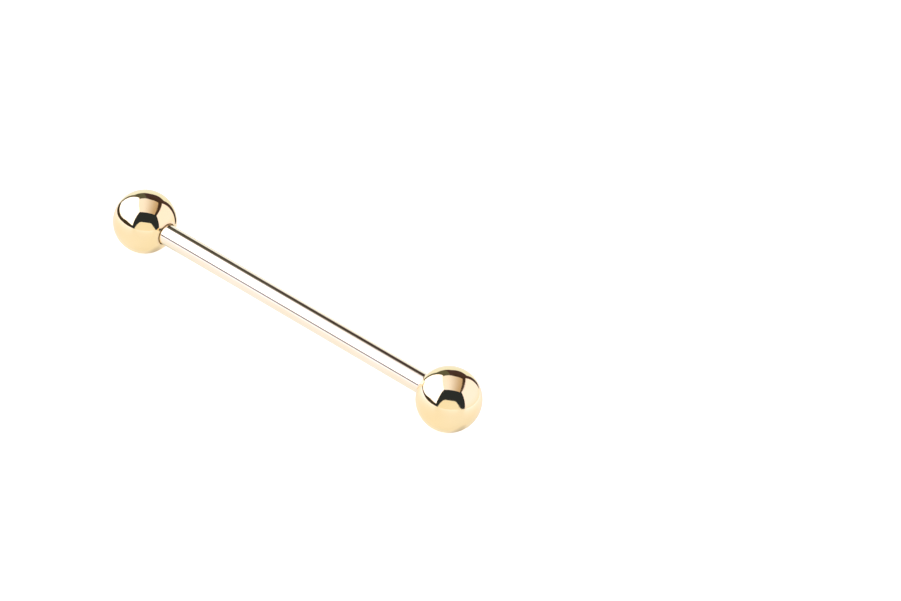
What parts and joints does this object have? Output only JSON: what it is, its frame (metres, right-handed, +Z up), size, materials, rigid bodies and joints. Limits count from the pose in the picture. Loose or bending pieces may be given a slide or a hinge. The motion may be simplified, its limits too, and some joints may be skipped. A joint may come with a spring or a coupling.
{
  "type": "industrial barbell",
  "caption": "Straight ear-piercing barbell: a polished yellow-gold bar with a screw-on ball closing each end.",
  "frame": {"origin": "under the middle of the bar, on the surface that both balls rest on", "axes": "+X along the bar towards the right ball, the one nearer the camera in the picture; +Z up"},
  "size_m": [0.0436, 0.006, 0.006],
  "materials": {
    "gold_bar": "mirror-polished yellow-gold coating on surgical steel",
    "gold_ball": "mirror-polished yellow-gold coating on surgical steel"
  },
  "bodies": {
    "bar": {"bar": "gold_bar"},
    "left_ball": {"left_ball": "gold_ball"},
    "right_ball": {"right_ball": "gold_ball"}
  },
  "joints": [
    {"name": "left_ball_off", "type": "slide", "parent": "bar", "child": "left_ball", "axis": [-1, 0, 0], "range_m": [0, 0.012]},
    {"name": "right_ball_off", "type": "slide", "parent": "bar", "child": "right_ball", "axis": [1, 0, 0], "range_m": [0, 0.012]}
  ]
}
